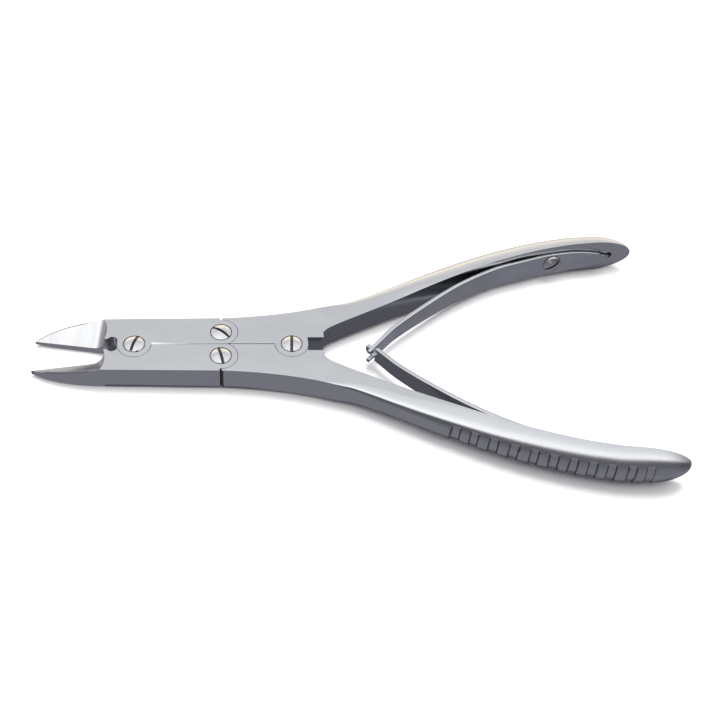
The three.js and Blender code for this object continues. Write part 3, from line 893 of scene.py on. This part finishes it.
def make_spring_screw(name, side, slot_degrees):
    """A screw through a leaf into its arm, its head towards the other handle."""
    size = SPRING_SCREW
    under = read_table(LEAF, size["x"])[1] / 2 + HEAD_LIFT
    placed = spring_axis() @ Matrix.Translation((0, 0, -under)) @ Matrix.Rotation(math.pi, 4, "X")
    return make_screw(name, placed, slot_degrees, side, size, size["rim"], size["depth"])


# ---------------------------------------------------------------- materials

class Shader:
    """A material's node tree, with short calls for the nodes that the steels share."""

    def __init__(self, name, metallic, base_colour, roughness):
        self.material = bpy.data.materials.new(name)
        self.material.use_nodes = True
        self.tree = self.material.node_tree
        self.surface = self.tree.nodes["Principled BSDF"]
        self.surface.inputs["Metallic"].default_value = metallic
        self.surface.inputs["Base Color"].default_value = (*base_colour, 1)
        self.surface.inputs["Roughness"].default_value = roughness

    def node(self, kind, inputs=(), **settings):
        """Adds a node; inputs maps socket names or numbers to values or to other nodes' outputs."""
        made = self.tree.nodes.new(kind)
        for key, value in settings.items():
            setattr(made, key, value)
        for socket, value in dict(inputs).items():
            if isinstance(value, bpy.types.NodeSocket):
                self.tree.links.new(value, made.inputs[socket])
            else:
                made.inputs[socket].default_value = value
        return made

    def grain(self):
        """Lengths along the grain, across it and upwards, in millimetres."""
        return self.node("ShaderNodeAttribute", attribute_name="grain").outputs["Vector"]

    def noise(self, vector, scale, detail=3.0, roughness=0.5):
        """Noise over a stretched vector, from 0 to 1."""
        mapped = self.node("ShaderNodeMapping", {"Vector": vector, "Scale": scale})
        inputs = {"Vector": mapped.outputs[0], "Scale": 1.0, "Detail": detail, "Roughness": roughness}
        return self.node("ShaderNodeTexNoise", inputs).outputs["Fac"]

    def spread(self, value, low, high, to_low, to_high, smooth=False):
        """Maps low..high to to_low..to_high, and clamps."""
        inputs = {0: value, 1: low, 2: high, 3: to_low, 4: to_high}
        kind = "SMOOTHSTEP" if smooth else "LINEAR"
        return self.node("ShaderNodeMapRange", inputs, interpolation_type=kind).outputs[0]

    def math(self, operation, first, second):
        return self.node("ShaderNodeMath", {0: first, 1: second}, operation=operation).outputs[0]

    def mix_colour(self, factor, first, second):
        mixed = self.node("ShaderNodeMix", data_type="RGBA")
        for socket, value in ((0, factor), (6, first), (7, second)):
            if isinstance(value, bpy.types.NodeSocket):
                self.tree.links.new(value, mixed.inputs[socket])
            else:
                mixed.inputs[socket].default_value = value if socket == 0 else (*value, 1)
        return mixed.outputs[2]

    def set(self, socket, value):
        self.tree.links.new(value, self.surface.inputs[socket])

    def bump(self, height, distance, strength=1.0):
        made = self.node("ShaderNodeBump", {"Height": height, "Distance": distance, "Strength": strength})
        self.set("Normal", made.outputs[0])


def satin_steel():
    """Forged steel, ground lengthwise and lightly polished, with a few handling scratches."""
    shader = Shader("satin_steel", 1.0, STEEL, 0.17)
    grain = shader.grain()
    fine = shader.noise(grain, (0.12, 5.5, 5.5), 4)
    broad = shader.noise(grain, (0.05, 0.9, 0.9), 2)
    cloud = shader.noise(grain, (0.09, 0.13, 0.13), 3)
    scratches = shader.spread(shader.noise(grain, (0.6, 3.1, 2.3), 1), 0.70, 0.76, 0, 1)
    brushing = shader.math("ADD", shader.math("MULTIPLY", fine, 0.7), shader.math("MULTIPLY", broad, 0.3))
    dull = shader.spread(brushing, 0.3, 0.7, 0.13, 0.2)
    dull = shader.math("ADD", dull, shader.spread(cloud, 0.35, 0.65, -0.025, 0.03))
    lengthwise = shader.node("ShaderNodeSeparateXYZ", {0: grain}).outputs["X"]
    dull = shader.math("ADD", dull, shader.spread(lengthwise, 35, 110, 0, 0.13, smooth=True))
    shader.set("Roughness", shader.math("ADD", dull, shader.math("MULTIPLY", scratches, 0.06)))
    tone = shader.spread(shader.math("ADD", cloud, shader.math("MULTIPLY", fine, 0.35)), 0.45, 0.9, 0, 1)
    shader.set("Base Color", shader.mix_colour(tone, DULL_STEEL, STEEL))
    shader.bump(fine, 0.004 * MM)
    return shader.material


def ground_steel():
    """A blade's face, as the grinding wheel left it, with fine lines across the edge."""
    shader = Shader("ground_steel", 1.0, BRIGHT_STEEL, 0.16)
    grain = shader.grain()
    lines = shader.noise(grain, (6.0, 0.25, 0.25), 4)
    sweep = shader.noise(grain, (0.35, 0.1, 0.1), 2)
    shader.set("Roughness", shader.spread(lines, 0.3, 0.7, 0.12, 0.22))
    shader.set("Base Color", shader.mix_colour(shader.spread(sweep, 0.3, 0.7, 0, 1), STEEL, BRIGHT_STEEL))
    shader.bump(lines, 0.003 * MM)
    return shader.material


def painted_edge_line():
    """Dark steel painted as shade, for the line along a blade's back and the steep ends of the grip grooves.
    """
    shader = Shader("painted_edge_line", 1.0, EDGE_LINE_SHADE, 0.3)
    pits = shader.noise(shader.grain(), (2.0, 2.0, 2.0), 3)
    shader.set("Roughness", shader.spread(pits, 0.3, 0.7, 0.22, 0.38))
    shader.bump(pits, 0.008 * MM)
    return shader.material


def spring_steel():
    """Tempered strip, drawn lengthwise and a little greyer than the handles."""
    shader = Shader("spring_steel", 1.0, SPRING_GREY, 0.17)
    grain = shader.grain()
    fine = shader.noise(grain, (0.08, 6.0, 4.2), 4)
    cloud = shader.noise(grain, (0.11, 0.2, 0.2), 3)
    dull = shader.spread(fine, 0.3, 0.7, 0.13, 0.2)
    shader.set("Roughness", shader.math("ADD", dull, shader.spread(cloud, 0.35, 0.65, -0.02, 0.03)))
    tone = shader.spread(cloud, 0.3, 0.7, 0, 1)
    shader.set("Base Color", shader.mix_colour(tone, SPRING_DARK, SPRING_GREY))
    shader.bump(fine, 0.004 * MM)
    return shader.material


def screw_steel():
    """Bright steel with the fine rings that turning leaves."""
    shader = Shader("screw_steel", 1.0, BRIGHT_STEEL, 0.17)
    grain = shader.grain()
    rings = shader.noise(grain, (0.06, 7.0, 7.0), 3)
    wear = shader.noise(grain, (0.5, 0.6, 0.6), 2)
    shader.set("Roughness", shader.spread(rings, 0.3, 0.7, 0.12, 0.24))
    shader.set("Base Color", shader.mix_colour(shader.spread(wear, 0.35, 0.65, 0, 1), STEEL, BRIGHT_STEEL))
    shader.bump(rings, 0.005 * MM)
    return shader.material


def painted_recess_shade():
    """Dark, rough steel painted as shade inside the screws' slots and in the gaps between jaws and handles.
    """
    shader = Shader("painted_recess_shade", 0.6, RECESS_SHADE, 0.5)
    specks = shader.noise(shader.grain(), (3.0, 3.0, 3.0), 3)
    shader.set("Roughness", shader.spread(specks, 0.3, 0.7, 0.4, 0.65))
    shader.set("Base Color", shader.mix_colour(shader.spread(specks, 0.4, 0.7, 0, 1), RECESS_SHADE, RECESS_SHADE_PALE))
    shader.bump(specks, 0.01 * MM)
    return shader.material


def painted_shade_card():
    """Matt grey with a faint glow, so that the shade under the tool is even."""
    shader = Shader("painted_shade_card", 0.0, SHADE_CARD_GLOW, 0.9)
    shader.surface.inputs["Emission Color"].default_value = (*SHADE_CARD_GLOW, 1)
    shader.surface.inputs["Emission Strength"].default_value = 1.0
    return shader.material


def floor_paint():
    """Matt white board."""
    shader = Shader("pale_floor", 0.0, FLOOR_COLOUR, 0.9)
    grain = shader.node("ShaderNodeTexCoord").outputs["Object"]
    mottle = shader.noise(grain, (14.0, 14.0, 14.0), 3)
    shader.set("Roughness", shader.spread(mottle, 0.3, 0.7, 0.86, 0.94))
    return shader.material


# ---------------------------------------------------------------- assembly

def show(piece, body, node, slot, *materials):
    """Gives a piece its materials, and puts it in the place of its CAD node."""
    for material in materials:
        piece.data.materials.append(material)
    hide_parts(node)
    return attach(piece, body) if body else piece


def make_jaws(*steels):
    """The upper jaw has the upper lug at the front pivot."""
    for node, side, front_layer in (("upper_jaw", 1, TOP_LAYER), ("lower_jaw", -1, BOTTOM_LAYER)):
        jaw = make_jaw(node + "_forging", side, front_layer)
        show(jaw, node, node, "satin_steel", *steels)


def make_handles(*steels):
    """The upper handle has the upper lug at the rear pivot."""
    for node, side, rear_layer in (("upper_handle", 1, TOP_LAYER), ("lower_handle", -1, BOTTOM_LAYER)):
        show(make_handle(node + "_forging", side, rear_layer), node, node, "satin_steel", *steels)


def make_springs(steel):
    """Each leaf is built curved and in place, and is not attached to a body."""
    for half, side in (("upper", 1), ("lower", -1)):
        leaf = make_spring(half + "_leaf", side)
        show(leaf, None, half + "_spring", "spring_steel", steel)
        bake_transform(leaf)


def make_screws(steel, recess_shade):
    """Four pivot screws and the two that hold the leaves."""
    for node, body, pivot, side, slot_degrees in (
        ("front_pivot_screw", "lower_jaw", FRONT_PIVOT, 1, 72),
        ("rear_pivot_screw", "lower_handle", REAR_PIVOT, 1, 88),
        ("upper_link_screw", "upper_handle", LINK_PIVOT, 1, -37),
        ("lower_link_screw", "lower_handle", LINK_PIVOT, -1, -76),
    ):
        screw = make_pivot_screw(node + "_turned", pivot, side, slot_degrees)
        show(screw, body, node, "screw_steel", steel, recess_shade)
    for half, side, slot_degrees in (("upper", 1, 35), ("lower", -1, -20)):
        screw = make_spring_screw(half + "_spring_screw_turned", side, slot_degrees)
        show(screw, half + "_handle", half + "_spring_screw", "screw_steel", steel, recess_shade)


# ---------------------------------------------------------------- floor, light and camera

def floor_height(x):
    """Height of the floor, which rises towards the jaws: the tool rests on them and its handles' bellies."""
    return (FLOOR["level_at_x"] - x) * FLOOR["slope"] - FLOOR["gap"]


def make_floor():
    """A clean white floor. In its place the steel reflects the tent's grey underside and the cards."""
    half = FLOOR["half_size"]
    bm = bmesh.new()
    corners = ((-half, -half), (half, -half), (half, half), (-half, half))
    bm.faces.new([bm.verts.new((x, y, floor_height(x))) for x, y in corners])
    floor = new_object("floor", bm)
    floor.data.materials.append(floor_paint())
    floor.visible_glossy = False


def make_card(name, side, paint):
    """A dim card under half the tool, seen only as the shade that the steel's sides reflect."""
    bm = bmesh.new()
    rows = [[bm.verts.new((x, y, floor_height(x))) for y in edges] for x, *edges in SHADE_CARD]
    for row, following in zip(rows, rows[1:]):
        bm.faces.new((*row, *reversed(following)))
    card = new_object(name, bm, side)
    card.data.materials.append(paint)
    card.visible_camera = False
    card.visible_diffuse = False
    card.visible_shadow = False


def make_sky():
    """A light tent about the tool's long axis: cards, gaps and a dark side, by the angle round that axis."""
    world = bpy.data.worlds.new("light_tent")
    world.use_nodes = True
    bpy.context.scene.world = world
    nodes, links = world.node_tree.nodes, world.node_tree.links
    split = nodes.new("ShaderNodeSeparateXYZ")
    links.new(nodes.new("ShaderNodeTexCoord").outputs["Generated"], split.inputs[0])
    turn = nodes.new("ShaderNodeMath")
    turn.operation = "ARCTAN2"
    links.new(split.outputs["Z"], turn.inputs[0])
    links.new(split.outputs["Y"], turn.inputs[1])
    share = nodes.new("ShaderNodeMapRange")
    share.inputs["From Min"].default_value = -math.pi
    share.inputs["From Max"].default_value = math.pi
    links.new(turn.outputs[0], share.inputs["Value"])
    ramp = nodes.new("ShaderNodeValToRGB")
    links.new(share.outputs[0], ramp.inputs[0])
    stops = ramp.color_ramp.elements
    while len(stops) > 1:
        stops.remove(stops[-1])
    for number, (degrees, level, tint) in enumerate(TENT):
        stop = stops.new((degrees + 180) / 360) if number else stops[0]
        stop.color = (*(level * channel for channel in tint), 1)
    aside = nodes.new("ShaderNodeMath")
    aside.operation = "ABSOLUTE"
    links.new(split.outputs["X"], aside.inputs[0])
    level = nodes.new("ShaderNodeMapRange")
    level.interpolation_type = "SMOOTHSTEP"
    level.inputs["From Min"].default_value = TENT_ENDS["from"]
    level.inputs["From Max"].default_value = TENT_ENDS["to"]
    level.inputs["To Min"].default_value = 1.0
    level.inputs["To Max"].default_value = TENT_ENDS["level"]
    links.new(aside.outputs[0], level.inputs["Value"])
    background = nodes["Background"]
    links.new(ramp.outputs[0], background.inputs["Color"])
    links.new(level.outputs[0], background.inputs["Strength"])


def make_lamp():
    """A soft lamp that gives the floor its shadow; the steel reflects only the tent."""
    lamp = bpy.data.lights.new("key", "AREA")
    lamp.size = KEY["size"]
    lamp.energy = KEY["power"]
    key = bpy.data.objects.new("key", lamp)
    key.location = KEY["place"]
    key.rotation_mode = "QUATERNION"
    key.rotation_quaternion = (-Vector(KEY["place"])).to_track_quat("-Z", "Y")
    key.visible_glossy = False
    bpy.context.scene.collection.objects.link(key)


def make_camera():
    """Looks down on the tool from beside the lower handle."""
    data = bpy.data.cameras.new("camera")
    data.lens = CAMERA["lens"]
    data.sensor_width = CAMERA["sensor"]
    data.clip_start, data.clip_end = 0.01, 20
    camera = bpy.data.objects.new("camera", data)
    azimuth, elevation, roll = (math.radians(CAMERA[key]) for key in ("azimuth", "elevation", "roll"))
    level = math.cos(elevation)
    back = Vector((math.sin(azimuth) * level, -math.cos(azimuth) * level, math.sin(elevation)))
    right = (-back).cross(Vector((0, 0, 1))).normalized()
    up = right.cross(-back)
    right, up = math.cos(roll) * right + math.sin(roll) * up, math.cos(roll) * up - math.sin(roll) * right
    placed = Matrix((right, up, back)).transposed().to_4x4()
    placed.translation = (Vector(CAMERA["target"]) + CAMERA["distance"] * back) * MM
    camera.matrix_world = placed
    bpy.context.scene.collection.objects.link(camera)
    bpy.context.scene.camera = camera


make_camera()
make_sky()
make_lamp()
make_floor()
shade_paint = painted_shade_card()
make_card("upper_shade_card", 1, shade_paint)
make_card("lower_shade_card", -1, shade_paint)
# The second and third steels are painted shade: in slots and link gaps, and along blade backs and groove
# ends.
satin, recess_shade, edge_line_shade = satin_steel(), painted_recess_shade(), painted_edge_line()
make_jaws(satin, recess_shade, edge_line_shade, ground_steel())
make_handles(satin, recess_shade, edge_line_shade)
make_springs(spring_steel())
make_screws(screw_steel(), recess_shade)
bpy.context.scene.view_settings.view_transform = "Standard"
